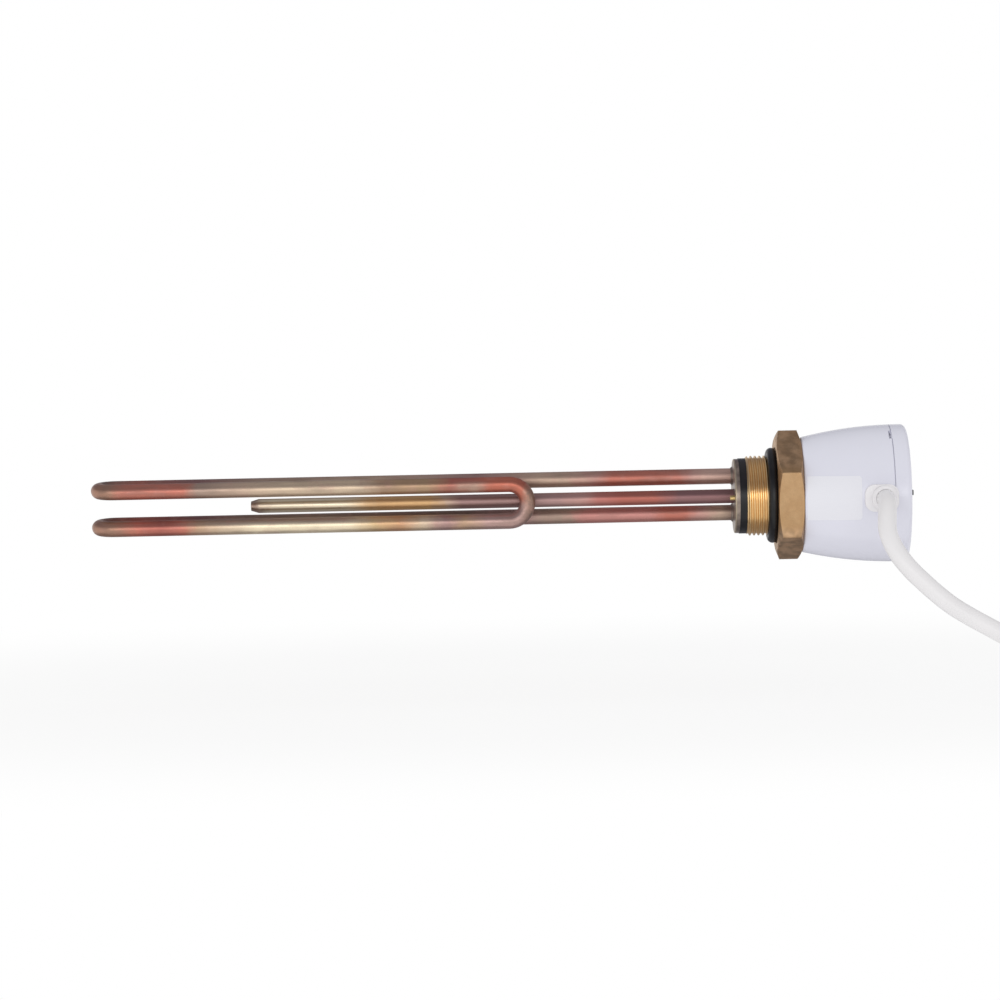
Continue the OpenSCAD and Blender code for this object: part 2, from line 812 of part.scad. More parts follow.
module mains_plug() {
    shoulder_x = sleeve_len + shoulder_len;
    edge = 1.2;
    color("whitesmoke") translate(mains_at) difference() {
        turned() polygon([
            [0, 0], [sleeve_d / 2, 0], [neck_d / 2, sleeve_len], [mains_d / 2 - 2, shoulder_x],
            [mains_d / 2, shoulder_x + 3], [mains_d / 2, mains_len - edge],
            [mains_d / 2 - edge, mains_len], [0, mains_len]]);
        for (side = [-1, 1]) {
            translate([shoulder_x + 6, side * mains_d / 2 - clip_cut, -clip_w / 2 - 1])
                cube([mains_len, 2 * clip_cut, clip_w + 2]);
            rod(mains_len - mains_root_len - over, mains_len + over, mains_root_d + 2 * fit,
                0, side * pin_pitch / 2);
            translate([mains_len - guide_len, -guide_w / 2, side * mains_d / 2 - guide_deep])
                cube([guide_len + over, guide_w, 2 * guide_deep]);
        }
        for (i = [1 : groove_count]) {
            x = sleeve_len * i / (groove_count + 1);
            d = sleeve_d + (neck_d - sleeve_d) * x / sleeve_len;
            ring(x - groove_w / 2, x + groove_w / 2, d + 2 * groove_deep, d - 2 * groove_deep);
        }
    }
}

module mains_pins() {
    dome = 1;
    color("silver") translate(mains_at) for (side = [-1, 1]) translate([0, 0, side * pin_pitch / 2])
        turned() polygon([
            [0, mains_len - mains_root_len], [mains_root_d / 2, mains_len - mains_root_len],
            [mains_root_d / 2, mains_len], [mains_pin_d / 2, mains_len],
            [mains_pin_d / 2, mains_len + pin_len - dome],
            [mains_pin_d / 2 - dome, mains_len + pin_len], [0, mains_len + pin_len]]);
}

module mains_earth_clips() {
    clip_x = sleeve_len + shoulder_len + 6.2;
    color("goldenrod") translate(mains_at) for (side = [-1, 1])
        translate([clip_x, side * (mains_d / 2 - clip_cut + clip_t / 2 + fit) - clip_t / 2, -clip_w / 2])
            cube([mains_len - clip_x - 1, clip_t, clip_w]);
}

heating_element();
thermowell();
element_plate();
seal_ring();
screw_plug();
plug_o_ring();
clamp_disc();
clamp_washer();
clamp_nut();
earth_stud();
earth_nuts();
earth_lug();
end_seals();
terminal_pins();
link_straps();
head_housing();
housing_screws();
end_cover();
thermostat_body();
thermostat_rod();
thermostat_screws();
terminal_screws();
setting_spindle();
reset_button();
cord_clamp();
clamp_screws();
lead_live();
lead_neutral();
lead_earth();
cord_gland();
cord_tube();
cord_coil();
cord_tail();
coil_tie();
mains_plug();
mains_pins();
mains_earth_clips();
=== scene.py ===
"""A screw plug immersion heater: its finishes, thread, label and cord, around the fixed frame."""
import json
import math

import bmesh
import bpy
from mathutils import Matrix, Vector
from mathutils.bvhtree import BVHTree


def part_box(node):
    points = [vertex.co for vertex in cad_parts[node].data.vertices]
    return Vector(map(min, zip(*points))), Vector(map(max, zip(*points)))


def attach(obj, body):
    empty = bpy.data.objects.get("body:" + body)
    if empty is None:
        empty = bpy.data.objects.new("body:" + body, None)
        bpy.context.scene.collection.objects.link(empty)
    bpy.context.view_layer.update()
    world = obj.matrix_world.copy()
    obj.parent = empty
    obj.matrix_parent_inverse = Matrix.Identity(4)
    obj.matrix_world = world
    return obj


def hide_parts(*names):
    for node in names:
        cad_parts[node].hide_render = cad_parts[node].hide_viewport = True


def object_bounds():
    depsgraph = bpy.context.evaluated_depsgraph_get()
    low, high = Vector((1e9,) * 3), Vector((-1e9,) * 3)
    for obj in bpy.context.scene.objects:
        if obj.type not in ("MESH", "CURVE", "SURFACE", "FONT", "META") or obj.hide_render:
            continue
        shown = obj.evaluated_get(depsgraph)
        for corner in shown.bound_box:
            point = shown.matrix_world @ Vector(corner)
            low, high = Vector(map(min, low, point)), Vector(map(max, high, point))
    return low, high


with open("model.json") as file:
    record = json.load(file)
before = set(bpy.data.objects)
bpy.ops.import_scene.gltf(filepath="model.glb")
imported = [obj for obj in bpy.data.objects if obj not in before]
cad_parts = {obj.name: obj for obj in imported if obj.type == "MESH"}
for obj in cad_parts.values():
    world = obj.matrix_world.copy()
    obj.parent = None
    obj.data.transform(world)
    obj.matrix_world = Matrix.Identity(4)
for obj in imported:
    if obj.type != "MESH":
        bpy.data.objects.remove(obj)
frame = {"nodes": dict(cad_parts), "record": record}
cad_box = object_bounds()
scene = bpy.context.scene
scene.view_settings.view_transform = "Standard"

MM = 0.001
MM_IN_A_METRE = 1000

# Camera, from the photograph's view
FRAME_PX = 1000
FOCAL_PX = 3802
SENSOR_MM = 36
CAMERA_TARGET = Vector((-140.1, 0, 0.5)) * MM
CAMERA_DISTANCE = 2.0
CAMERA_ELEVATION = math.radians(4)
CAMERA_ROLL = math.radians(1.2)
CAMERA_REACH = 50

# The cord: its route to the coil, the coil's turns and its route to the mains plug, in millimetres
CORD_D = 9.5 * MM
CORD_ROUTE = [
    (58.5, -24.7, 0), (58.5, -34, 0), (58.5, -43, 0), (58.4, -49, 0), (57.9, -56.5, -1),
    (57.1, -64, -3.6), (56.3, -70.6, -7.9), (55.8, -76.2, -13.4), (57.5, -80.6, -19.8),
    (61.2, -83.6, -26.6), (66.6, -85.4, -33.4), (72.2, -86, -39), (79, -86, -45.3),
    (87.3, -86, -52), (96.8, -86, -58), (107, -86, -63.8), (117, -86, -69.4),
    (128, -86, -74.4), (139.5, -86, -78.8), (152, -86, -82.2), (165, -86, -84.5),
    (179, -86, -85.6), (194, -86, -85.75)]
TAIL_ROUTE = [
    (194, -86, -95.25), (204, -86, -95.2), (215, -86, -94), (226, -86, -91),
    (237, -86, -87), (246, -86, -83.8), (255, -86, -81.5), (265, -86, -81.5)]
COIL_CENTRE = (194, -33.75)
COIL_OUTER_R = 52.25
COIL_INNER_R = 42.75
COIL_TOP_Z = -85.75
COIL_LOW_Z = -95.25
COIL_TURNS = [(COIL_OUTER_R, COIL_TOP_Z), (COIL_INNER_R, COIL_TOP_Z),
              (COIL_INNER_R, COIL_LOW_Z), (COIL_OUTER_R, COIL_LOW_Z)]
COIL_POINTS = 24
CHANGE_POINTS = 5
CORD_STEPS = 4
CORD_BEVEL_STEPS = 6

# Thread of the plug: a pipe thread with rounded crests and roots, which runs out into a relief
THREAD_PITCH = 2.309 * MM
THREAD_DEPTH = 1.1 * MM
THREAD_PHASE = 0.72
THREAD_FLAT_SHARE = 0.14
LEAD_IN = 1.0 * MM
RUN_OUT_X = (-0.3 * MM, 0.1 * MM)
THREAD_CUT_X = 0.5 * MM
SLEEVE_END_X = THREAD_CUT_X - 0.1 * MM
SLEEVE_ROWS = 150
SLEEVE_COLUMNS = 161

# Hexagon of the plug: its rounded corners, and how its edges are told apart
HEX_ROUND = 1.1 * MM
HEX_ROUND_STEPS = 4
CORNER_MIN_LENGTH = 2 * MM
CORNER_PLAY = 0.2 * MM
FLAT_ANGLE = math.radians(0.3)
FLAT_AREA = 100 * MM * MM
PLUG_SHARP_ANGLE = math.radians(28)

# How near points and edges of the plug's mesh lie to count as one
SAME_PLANE = 0.0001 * MM
SAME_POINT = 0.001 * MM
EMPTY_FACE = 0.01 * MM
RING_X_PLAY = 0.01 * MM
RING_R_PLAY = 0.4 * MM

# The bare label on the head
LABEL_X = (19.3 * MM, 47.2 * MM)
LABEL_HALF_H = 11.4 * MM
LABEL_CORNER = 1.2 * MM
LABEL_LIFT = 0.12 * MM
LABEL_SINK = 0.06 * MM
LABEL_ROWS = 30
LABEL_COLUMNS = 28
LABEL_SHARP_ANGLE = math.radians(40)
RAY_START_Y = -0.2


def srgb(red, green, blue):
    """A colour of 0 to 255 as it looks on screen, in linear values."""
    def linear(value):
        value /= 255
        return value / 12.92 if value <= 0.04045 else ((value + 0.055) / 1.055) ** 2.4
    return (linear(red), linear(green), linear(blue), 1.0)


def grey(level):
    """A linear grey."""
    return (level, level, level, 1.0)


# Heat colours of the copper and the brass
SALMON = srgb(196, 123, 107)
PINK = srgb(200, 142, 134)
BRICK = srgb(178, 108, 96)
ORANGE = srgb(194, 114, 94)
ROSE = srgb(198, 152, 142)
PALE_ROSE = srgb(208, 174, 160)
MAUVE = srgb(174, 140, 136)
DULL_MAUVE = srgb(162, 131, 127)
LILAC = srgb(190, 157, 150)
PLUM = srgb(144, 108, 108)
STRAW = srgb(242, 226, 196)
DULL_STRAW = srgb(212, 190, 164)
GOLD = srgb(210, 180, 138)
OLIVE = srgb(222, 208, 182)
AMBER = srgb(210, 162, 122)
SAND = srgb(198, 172, 152)
GREY_BROWN = srgb(172, 148, 134)
UMBER = srgb(134, 114, 104)
TAN = srgb(192, 160, 132)
FAWN = srgb(176, 146, 118)
TIP_BROWN = srgb(174, 134, 114)
BEND_BROWN = srgb(154, 122, 106)
WELL_GOLD = srgb(212, 172, 124)
WELL_ROSE = srgb(190, 148, 140)
WELL_BRICK = srgb(186, 122, 114)

# Heat colours along each leg of the element and along the thermowell, by station in millimetres
STATION_RANGE = (-360.0, 30.0)
FRONT_UPPER_LEG = [
    (-354, TIP_BROWN), (-346, TIP_BROWN), (-336, SALMON), (-307, SALMON), (-299, GREY_BROWN),
    (-282, SAND), (-250, DULL_STRAW), (-212, DULL_STRAW), (-203, TAN), (-193, FAWN), (-178, FAWN),
    (-163, BRICK), (-156, BRICK), (-145, ORANGE), (-128, ORANGE), (-122, SAND)]
FRONT_LOWER_LEG = [
    (-354, TIP_BROWN), (-341, TIP_BROWN), (-331, SALMON), (-318, BRICK), (-306, SALMON),
    (-296, TAN), (-284, DULL_STRAW), (-268, STRAW), (-222, STRAW), (-206, GOLD), (-194, AMBER),
    (-181, DULL_STRAW), (-169, MAUVE), (-160, TAN), (-148, LILAC), (-124, LILAC)]
BACK_UPPER_LEG = [
    (-350, UMBER), (-330, BRICK), (-300, PLUM), (-270, GREY_BROWN), (-200, SAND), (-150, MAUVE),
    (-118, SAND), (-102, SAND), (-93, ROSE), (-82, SALMON), (-50, SALMON), (-38, ROSE),
    (-30, PALE_ROSE), (-20, PALE_ROSE)]
BACK_LOWER_LEG = [
    (-350, UMBER), (-330, BRICK), (-300, PLUM), (-270, GREY_BROWN), (-160, UMBER), (-130, MAUVE),
    (-118, GREY_BROWN), (-103, GREY_BROWN), (-96, PINK), (-62, PINK), (-54, SALMON), (-42, SALMON),
    (-33, ROSE), (-26, SAND), (-18, GREY_BROWN)]
THERMOWELL = [
    (-272, UMBER), (-267, GREY_BROWN), (-263, OLIVE), (-222, OLIVE), (-204, WELL_GOLD),
    (-176, WELL_GOLD), (-170, SAND), (-160, DULL_MAUVE), (-122, DULL_MAUVE), (-110, MAUVE),
    (-100, WELL_ROSE), (-88, WELL_BRICK), (-76, BRICK), (-60, BRICK), (-46, PLUM), (-15, PLUM)]

# Where the marks on the metal begin and end, in millimetres
LOWER_TO_UPPER_Z = (-2.5, 2.5)
BACK_TO_FRONT_Y = (2, -2)
PALE_PATCH_X = ((-167, -153), (-154, -142))
PALE_PATCH_TOP_Z = (9.0, 12.6)
# Painted shade: where the grey-brown band along the top of the lower front leg begins and ends
TOP_SHADE_X = ((-312, -284), (-226, -200))
TOP_SHADE_Z = (-9.4, -7.0)
BEND_X = ((-131, -124), (-119, -116))
BEND_TOP_Z = (4, 10)
DULL_WELL_X = (-232, -198)
BRAZE_COLLAR = 1.0
PLATE_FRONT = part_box("element_plate")[0].x / MM + BRAZE_COLLAR
PLATE_EDGE_X = (PLATE_FRONT + 0.5, PLATE_FRONT + 0.8)
PLATE_EDGE_R = (18.4, 18.9)
HEXAGON_X = (3.0, 5.0)
SCALED_FACET_Z = (13.5, 18.5)

# Stage: floor, dark card, room and lamp. The floor's fade is in millimetres
WHITE = grey(1.0)
FLOOR_HALF_WIDTH = 12.0
FLOOR_GAP = 0.05 * MM
FLOOR_GREY = grey(0.9)
FLOOR_MIDDLE_X = -80.0
FLOOR_STRETCH = 2
FLOOR_FADE = (160.0, 420.0)
FLOOR_GLOW = (0.78, 1.0)
FLOOR_GLOW_UNSEEN = 0.55
CARD_X = (-0.46, 0.11)
CARD_Y = (-0.04, 0.45)
CARD_LIFT = 2 * MM
CARD_GREY = (0.36, 0.36, 0.39, 1)
SKY = [
    (0.1, WHITE), (0.4, (0.18, 0.18, 0.23, 1)), (0.7, (0.26, 0.26, 0.3, 1)), (1.0, (0.42, 0.42, 0.45, 1))]
ROOM_STRENGTH = 0.84
SOFTBOX_PLACE = (-0.4, -2.3, 0.22)
SOFTBOX_TARGET = (-0.1, 0, 0)
SOFTBOX_SIZE = (2.4, 0.58)
SOFTBOX_POWER = 10


# Node trees as expressions

class Wire:
    """A socket of a node tree. Arithmetic on it adds the nodes that work it out."""

    def __init__(self, plan, socket):
        self.plan = plan
        self.socket = socket

    def output(self, key):
        """Another output of the same node."""
        return Wire(self.plan, self.socket.node.outputs[key])

    def combined(self, operation, first, second):
        """Colours go through Mix, vectors through Vector Math and values through Math."""
        if self.socket.type == "RGBA":
            settings = {"data_type": "RGBA", "blend_type": operation}
            return self.plan.add("ShaderNodeMix", settings, {0: 1.0, 6: first, 7: second}, 2)
        if self.socket.type == "VECTOR":
            return self.plan.add("ShaderNodeVectorMath", {"operation": operation}, {0: first, 1: second})
        return self.plan.add("ShaderNodeMath", {"operation": operation}, {0: first, 1: second})

    def __add__(self, other):
        return self.combined("ADD", self, other)

    def __radd__(self, other):
        return self.combined("ADD", other, self)

    def __sub__(self, other):
        return self.combined("SUBTRACT", self, other)

    def __rsub__(self, other):
        return self.combined("SUBTRACT", other, self)

    def __mul__(self, other):
        return self.combined("MULTIPLY", self, other)

    def __rmul__(self, other):
        return self.combined("MULTIPLY", other, self)

    def __truediv__(self, other):
        return self.combined("DIVIDE", self, other)

    def function(self, operation, other=0.0):
        return self.plan.add("ShaderNodeMath", {"operation": operation}, {0: self, 1: other})

    def step(self, low, high):
        """0 below low, 1 above high, with a smooth rise between them."""
        settings = {"interpolation_type": "SMOOTHSTEP"}
        return self.plan.add("ShaderNodeMapRange", settings, {0: self, 1: low, 2: high})

    def band(self, rise, fall):
        """1 between a rise and a fall, 0 outside them."""
        return self.step(*rise) - self.step(*fall)

    def to(self, low, high):
        """A share of 0 to 1 spread from low to high."""
        return self * (high - low) + low


class Plan:
    """A node tree that is written as expressions."""

    def __init__(self, tree):
        self.tree = tree

    def add(self, kind, settings=None, inputs=None, output=0):
        """A new node with its settings, and values or wires on its inputs. Gives one of its outputs."""
        node = self.tree.nodes.new(kind)
        for name, value in (settings or {}).items():
            if name == "stops":
                self.set_stops(node.color_ramp, value)
            else:
                setattr(node, name, value)
        for key, value in (inputs or {}).items():
            if isinstance(value, Wire):
                self.tree.links.new(value.socket, node.inputs[key])
            else:
                node.inputs[key].default_value = value
        return Wire(self, node.outputs[output]) if len(node.outputs) else None

    @staticmethod
    def set_stops(ramp, stops):
        while len(ramp.elements) < len(stops):
            ramp.elements.new(1.0)
        for element, (place, colour) in zip(ramp.elements, stops):
            element.position = place
            element.color = colour

    def blend(self, first, second, share):
        return self.add("ShaderNodeMix", {"data_type": "RGBA"}, {0: share, 6: first, 7: second}, 2)

    def parts(self, vector):
        x = self.add("ShaderNodeSeparateXYZ", None, {0: vector})
        return x, x.output(1), x.output(2)

    def vector(self, x, y, z):
        return self.add("ShaderNodeCombineXYZ", None, {0: x, 1: y, 2: z})

    def seen(self):
        """1 on a ray from the camera, from a reflection or through glass."""
        path = self.add("ShaderNodeLightPath")
        shown = path.output("Is Camera Ray").function("MAXIMUM", path.output("Is Glossy Ray"))
        return shown.function("MAXIMUM", path.output("Is Transmission Ray"))


class Finish(Plan):
    """A material. Places on the piece are in millimetres."""

    def __init__(self, name):
        self.material = bpy.data.materials.new(name)
        self.material.use_nodes = True
        super().__init__(self.material.node_tree)
        self.tree.nodes.clear()
        place = self.add("ShaderNodeTexCoord", None, None, "Object")
        self.place = place * (MM_IN_A_METRE, MM_IN_A_METRE, MM_IN_A_METRE)

    def noise(self, size, detail=2.0, rough=0.5, place=None):
        """Cloudy values around 0.5, with patches of about that size in millimetres."""
        inputs = {"Vector": place or self.place, "Scale": 1 / size, "Detail": detail, "Roughness": rough}
        return self.add("ShaderNodeTexNoise", None, inputs)

    def streaks(self, length, width):
        """Noise drawn out along X."""
        drawn = self.place * (1 / length, 1 / width, 1 / width)
        return self.noise(1.0, 3.0, 0.55, drawn)

    def shade(self, low, high, share):
        """A grey between two levels, which a colour is multiplied by."""
        return self.blend(grey(low), grey(high), share)

    def surface(self, values, height=None, bump=0.1, depth=0.05 * MM):
        """The finished material, with a bump from a height."""
        inputs = dict(values)
        if height is not None:
            bumped = {"Strength": bump, "Distance": depth, "Height": height}
            inputs["Normal"] = self.add("ShaderNodeBump", None, bumped)
        return self.closed(self.add("ShaderNodeBsdfPrincipled", None, inputs))

    def closed(self, shader):
        """The material with its shader on its output."""
        self.add("ShaderNodeOutputMaterial", None, {0: shader})
        return self.material


# Camera

def make_camera():
    """A long lens a little above the heater's axis, rolled as the photograph is."""
    ahead = Vector((0, math.cos(CAMERA_ELEVATION), -math.sin(CAMERA_ELEVATION)))
    level = Vector((1, 0, 0))
    upright = level.cross(ahead)
    right = math.cos(CAMERA_ROLL) * level - math.sin(CAMERA_ROLL) * upright
    up = right.cross(ahead)
    data = bpy.data.cameras.new("camera")
    data.sensor_width = SENSOR_MM
    data.lens = SENSOR_MM * FOCAL_PX / FRAME_PX
    data.clip_end = CAMERA_REACH
    camera = bpy.data.objects.new("camera", data)
    turn = Matrix((right, up, -ahead)).transposed().to_4x4()
    camera.matrix_world = Matrix.Translation(CAMERA_TARGET - CAMERA_DISTANCE * ahead) @ turn
    scene.collection.objects.link(camera)
    scene.camera = camera


# Cord

def smooth_line(points, steps):
    """A smooth line through the points, with a few steps between each two."""
    ends = [2 * points[0] - points[1], *points, 2 * points[-1] - points[-2]]
    line = []
    for before, here, there, after in zip(ends, ends[1:], ends[2:], ends[3:]):
        for k in range(steps):
            t = k / steps
            line.append(0.5 * (2 * here + (there - before) * t
                               + (2 * before - 5 * here + 4 * there - after) * t ** 2
                               + (3 * here - before - 3 * there + after) * t ** 3))
    return line + [points[-1]]


def coil_points():
    """The coil's turns, each a circle that eases into the next one near its end."""
    centre_x, centre_y = COIL_CENTRE
    points = []
    for turn, (radius, height) in enumerate(COIL_TURNS):
        after_radius, after_height = COIL_TURNS[min(turn + 1, len(COIL_TURNS) - 1)]
        for k in range(COIL_POINTS):
            late = max(0, (k - COIL_POINTS + CHANGE_POINTS) / CHANGE_POINTS)
            eased = late * late * (3 - 2 * late)
            angle = math.tau * k / COIL_POINTS - math.pi / 2
            r = radius + (after_radius - radius) * eased
            z = height + (after_height - height) * eased
            points.append((centre_x + r * math.cos(angle), centre_y + r * math.sin(angle), z))
    return points


def make_cord(material):
    """The whole cord as one round curve, from the gland through its coil to the mains plug."""
    route = [Vector(p) * MM for p in CORD_ROUTE[:-1] + coil_points() + TAIL_ROUTE]
    line = smooth_line(route, CORD_STEPS)
    data = bpy.data.curves.new("mains_cord", "CURVE")
    data.dimensions = "3D"
    data.bevel_depth = CORD_D / 2
    data.bevel_resolution = CORD_BEVEL_STEPS
    data.use_fill_caps = True
    spline = data.splines.new("POLY")
    spline.points.add(len(line) - 1)
    for point, place in zip(spline.points, line):
        point.co = (*place, 1)
    spline.use_smooth = True
    cord = bpy.data.objects.new("mains_cord", data)
    scene.collection.objects.link(cord)
    data.materials.append(material)
    return cord


# Finishes

def along(finish, station, stops):
    """A colour that changes along the heater. Stops are stations in millimetres and their colours."""
    low, high = STATION_RANGE
    places = [((x - low) / (high - low), colour) for x, colour in stops]
    share = (station - low) / (high - low)
    return finish.add("ShaderNodeValToRGB", {"stops": places}, {0: share})


def heated_copper():
    """Copper tube with the heat colours that brazing left, different on each leg, and painted shade along
    the top of the lower front leg.
    """
    finish = Finish("heated_copper")
    x, y, z = finish.parts(finish.place)
    station = x + (finish.noise(14.0, 3.0).to(-9, 9) + finish.noise(4.0, 2.0).to(-2.5, 2.5))
    upper = z.step(*LOWER_TO_UPPER_Z)
    front = y.step(*BACK_TO_FRONT_Y)
    pale = station.band(*PALE_PATCH_X) * (1 - z.step(*PALE_PATCH_TOP_Z))
    front_upper = finish.blend(along(finish, station, FRONT_UPPER_LEG), SAND, pale * 0.75)
    # Painted shade: the top of the lower front leg turns grey-brown, darker than its lit front
    top_shade = z.step(*TOP_SHADE_Z) * x.band(*TOP_SHADE_X)
    front_lower = finish.blend(along(finish, station, FRONT_LOWER_LEG), GREY_BROWN, top_shade)
    front_colour = finish.blend(front_lower, front_upper, upper)
    back_upper = along(finish, station, BACK_UPPER_LEG)
    back_lower = along(finish, station, BACK_LOWER_LEG)
    back_colour = finish.blend(back_lower, back_upper, upper)
    colour = finish.blend(back_colour, front_colour, front)
    bend = x.band(*BEND_X) * front * (1 - z.step(*BEND_TOP_Z))
    colour = finish.blend(colour, BEND_BROWN, bend * 0.8)
    fleck = finish.noise(1.1, 2.0).step(0.46, 0.6)
    colour = finish.blend(colour, UMBER, bend * fleck * 0.55)
    smoky = finish.streaks(26.0, 5.0).step(0.44, 0.72)
    colour = finish.blend(colour, UMBER, smoky * 0.38)
    bloom = finish.noise(7.0, 3.0).step(0.5, 0.74)
    colour = finish.blend(colour, ROSE, bloom * 0.25)
    grain = finish.noise(0.55, 2.0)
    roughness = (smoky * 0.5 + grain * 0.5).to(0.38, 0.5) + (1 - front) * 0.08
    return finish.surface(
        {"Base Color": colour * finish.shade(0.84, 1.08, grain), "Metallic": 0.88, "Roughness": roughness},
        grain + finish.streaks(30.0, 0.8), bump=0.12)


def heated_brass_tube():
    """Drawn brass of the thermowell, with heat colours towards the plate."""
    finish = Finish("heated_brass_tube")
    x, _, _ = finish.parts(finish.place)
    colour = along(finish, x + finish.noise(12.0, 3.0).to(-8, 8), THERMOWELL)
    smoky = finish.streaks(30.0, 4.0).step(0.45, 0.75)
    colour = finish.blend(colour, UMBER, smoky * 0.3)
    grain = finish.noise(0.5, 2.0)
    roughness = grain.to(0.28, 0.38) + x.step(*DULL_WELL_X) * 0.16
    return finish.surface(
        {"Base Color": colour, "Metallic": 0.92, "Roughness": roughness},
        grain * 0.2 + finish.streaks(40.0, 0.6), bump=0.05)


def brazed_plate():
    """Turned brass, dulled to grey-brown by the brazing, brighter along the edge of its face."""
    finish = Finish("brazed_plate")
    x, y, z = finish.parts(finish.place)
    radius = (y * y + z * z).function("SQRT")
    cloud = finish.noise(4.0, 4.0)
    colour = finish.blend(srgb(130, 117, 109), srgb(162, 147, 136), cloud.step(0.35, 0.7))
    edge = radius.step(*PLATE_EDGE_R) * (1 - x.step(*PLATE_EDGE_X))
    colour = finish.blend(colour, srgb(206, 190, 162), edge * 0.75)
    rings = (radius * 9).function("SINE")
    return finish.surface(
        {"Base Color": colour, "Metallic": 0.95, "Roughness": cloud.to(0.3, 0.5)},
        rings * 0.3 + finish.noise(0.5, 2.0), bump=0.1)


def machined_brass():
    """The plug: a bright cut thread, and a hexagon with a sandy skin, mottled on its outer facets."""
    finish = Finish("machined_brass")
    x, _, z = finish.parts(finish.place)
    hexagon = x.step(*HEXAGON_X)
    speckle = finish.noise(0.55, 3.0, 0.6)
    cloud = finish.noise(6.0, 3.0)
    skin = finish.blend(srgb(184, 149, 110), srgb(193, 159, 120), cloud.step(0.3, 0.7))
    mottle = finish.noise(1.8, 3.0, 0.6)
    skin = skin * finish.blend((0.7, 0.69, 0.68, 1), grey(1.18), speckle * 0.6 + mottle * 0.4)
    patch = finish.noise(5.0, 2.0, 0.45).step(0.34, 0.66)
    scaled = skin * finish.blend((0.8, 0.82, 0.9, 1), (1.2, 1.22, 1.34, 1), patch)
    skin = finish.blend(skin, scaled, z.function("ABSOLUTE").step(*SCALED_FACET_Z))
    cut = finish.blend(srgb(231, 194, 139), srgb(243, 210, 158), finish.noise(1.5, 2.0))
    turning = (x * 30 + finish.noise(2.0, 2.0) * 3).function("SINE")
    roughness = hexagon * speckle.to(0.13, 0.23) + cloud.to(0.27, 0.34)
    return finish.surface(
        {"Base Color": finish.blend(cut, skin, hexagon), "Metallic": 1.0, "Roughness": roughness},
        hexagon * speckle * 1.4 + turning * 0.05, bump=0.22)


def black_rubber():
    """Smooth black rubber with a faint bloom."""
    finish = Finish("black_rubber")
    bloom = finish.noise(5.0, 4.0)
    grain = finish.noise(0.35, 2.0)
    colour = finish.blend(srgb(12, 11, 13), srgb(22, 20, 23), bloom.step(0.35, 0.75))
    roughness = (bloom * 0.6 + grain * 0.4).to(0.3, 0.46)
    return finish.surface(
        {"Base Color": colour, "Roughness": roughness, "Specular IOR Level": 0.38}, grain, bump=0.12)


def moulded(name, colour, roughness, unevenness=0.04, grain_size=0.5, bump=0.05):
    """Moulded plastic: a slightly uneven tone, and the mould's fine grain."""
    finish = Finish(name)
    shade = finish.shade(1 - unevenness, 1 + unevenness, finish.noise(16.0, 2.0))
    grain = finish.noise(grain_size, 2.0)
    return finish.surface(
        {"Base Color": shade * colour, "Roughness": grain.to(roughness - 0.05, roughness + 0.05)},
        grain, bump)


def metal(name, colour, roughness):
    """Small turned or plated metal, faintly clouded."""
    finish = Finish(name)
    cloud = finish.noise(2.5, 3.0)
    grain = finish.noise(0.3, 2.0)
    uneven = (cloud * 0.5 + grain * 0.5).to(roughness - 0.1, roughness + 0.1)
    return finish.surface(
        {"Base Color": finish.shade(0.8, 1.08, cloud) * colour, "Metallic": 1.0, "Roughness": uneven},
        grain, bump=0.08)


def earth_insulation():
    """Green core insulation with a yellow stripe wound along it."""
    finish = Finish("earth_insulation")
    x, _, z = finish.parts(finish.place)
    stripe = ((x + z * 2) * 0.9).function("SINE").step(0.1, 0.3)
    colour = finish.blend(srgb(60, 130, 50), srgb(226, 208, 60), stripe)
    return finish.surface({"Base Color": colour, "Roughness": finish.noise(0.5).to(0.4, 0.5)})


def label_film():
    """Plain white label stock."""
    finish = Finish("label_film")
    fibre = finish.noise(0.4, 3.0)
    colour = finish.blend(srgb(222, 222, 229), srgb(230, 230, 236), fibre)
    return finish.surface({"Base Color": colour, "Roughness": fibre.to(0.45, 0.55)}, fibre, bump=0.04)


# Meshes

def new_piece(name, mesh, material=None):
    piece = bpy.data.objects.new(name, mesh)
    scene.collection.objects.link(piece)
    if material:
        mesh.materials.clear()
        mesh.materials.append(material)
    return piece


def finished_mesh(name, bm, sharp_angle):
    """A mesh with its faces outwards, smooth apart from its large flats and its sharp edges."""
    bmesh.ops.recalc_face_normals(bm, faces=bm.faces)
    mesh = bpy.data.meshes.new(name)
    bm.to_mesh(mesh)
    bm.free()
    for polygon in mesh.polygons:
        polygon.use_smooth = polygon.area < FLAT_AREA
        polygon.material_index = 0
    mesh.set_sharp_from_angle(angle=sharp_angle)
    return mesh


def run_nodes(name, group, values):
    """A plain mesh from a geometry node group, with its inputs set by their names."""
    holder = new_piece(name + "_holder", bpy.data.meshes.new(name + "_holder"))
    modifier = holder.modifiers.new("nodes", "NODES")
    modifier.node_group = group
    for item in group.interface.items_tree:
        if item.item_type == "SOCKET" and item.in_out == "INPUT" and item.name in values:
            modifier[item.identifier] = values[item.name]
    graph = bpy.context.evaluated_depsgraph_get()
    mesh = bpy.data.meshes.new_from_object(holder.evaluated_get(graph), depsgraph=graph)
    mesh.name = name
    bpy.data.objects.remove(holder)
    return mesh


def node_group(name, inputs):
    """A geometry node group with named inputs, as a plan and a wire for each input."""
    group = bpy.data.node_groups.new(name, "GeometryNodeTree")
    group.interface.new_socket("Geometry", in_out="OUTPUT", socket_type="NodeSocketGeometry")
    for label, kind in inputs.items():
        group.interface.new_socket(label, in_out="INPUT", socket_type="NodeSocket" + kind)
    plan = Plan(group)
    first = plan.add("NodeGroupInput")
    return group, plan, {label: first.output(label) for label in inputs}


def finish_group(plan, geometry, material):
    """The group's end: real geometry with its material."""
    real = plan.add("GeometryNodeRealizeInstances", None, {0: geometry})
    painted = plan.add("GeometryNodeSetMaterial", None, {"Geometry": real, "Material": material})
    plan.add("NodeGroupOutput", None, {0: painted})


# The plug with its thread

